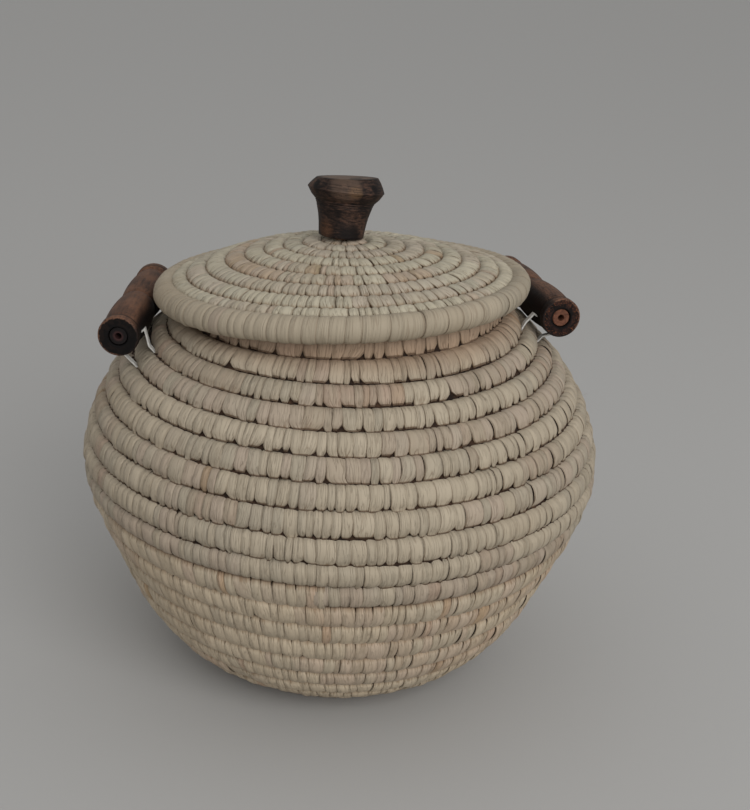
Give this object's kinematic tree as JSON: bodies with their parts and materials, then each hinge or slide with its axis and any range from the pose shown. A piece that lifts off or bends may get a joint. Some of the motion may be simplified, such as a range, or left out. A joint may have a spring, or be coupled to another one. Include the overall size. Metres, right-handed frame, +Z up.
{
  "type": "coiled rice basket",
  "caption": "Round coiled palm-leaf basket with a shallow domed lid, a turned wooden knob and turned wooden side handles tied on with strips, for storing or serving dry food.",
  "frame": {"origin": "centre of the flat base, on the surface that the basket stands on", "axes": "+Z up, -Y towards the front that the picture shows, +X to the right seen from the front"},
  "size_m": [0.3179, 0.3176, 0.3112],
  "materials": {
    "palm_leaf_body": "dry pale palm leaf, matt",
    "palm_leaf_lid": "dry pale palm leaf, matt",
    "palm_leaf_ring": "dry pale palm leaf, matt",
    "dark_wood": "turned and scorched hardwood, low sheen",
    "pale_core": "bare orange-brown wood",
    "brown_wood": "plain brown wood",
    "white_strip": "white flat strip, matt"
  },
  "bodies": {
    "basket": {"basket_body": "palm_leaf_body", "tie_left_front": "white_strip", "tie_left_rear": "white_strip", "tie_right_front": "white_strip", "tie_right_rear": "white_strip"},
    "lid": {"lid_coil": "palm_leaf_lid", "lid_inner_ring": "palm_leaf_ring", "knob": "dark_wood", "knob_peg": "brown_wood", "peg_washer": "brown_wood"},
    "left_handle": {"handle_left": "dark_wood", "handle_left_core": "pale_core"},
    "right_handle": {"handle_right": "dark_wood", "handle_right_core": "pale_core"}
  },
  "joints": [
    {"name": "lid_lift", "type": "slide", "parent": "basket", "child": "lid", "axis": [0, 0, 1], "range_m": [0, 0.15]},
    {"name": "left_handle_rock", "type": "hinge", "parent": "basket", "child": "left_handle", "pos_m": [-0.1154, -0.002, 0.20598], "axis": [0.0262, 0.9997, 0], "range_deg": [-18, 4], "deforming": ["tie_left_front", "tie_left_rear"]},
    {"name": "right_handle_rock", "type": "hinge", "parent": "basket", "child": "right_handle", "pos_m": [0.10266, 0.03619, 0.21713], "axis": [0.25, -0.9668, 0.0523], "range_deg": [-18, 4], "deforming": ["tie_right_front", "tie_right_rear"]}
  ]
}
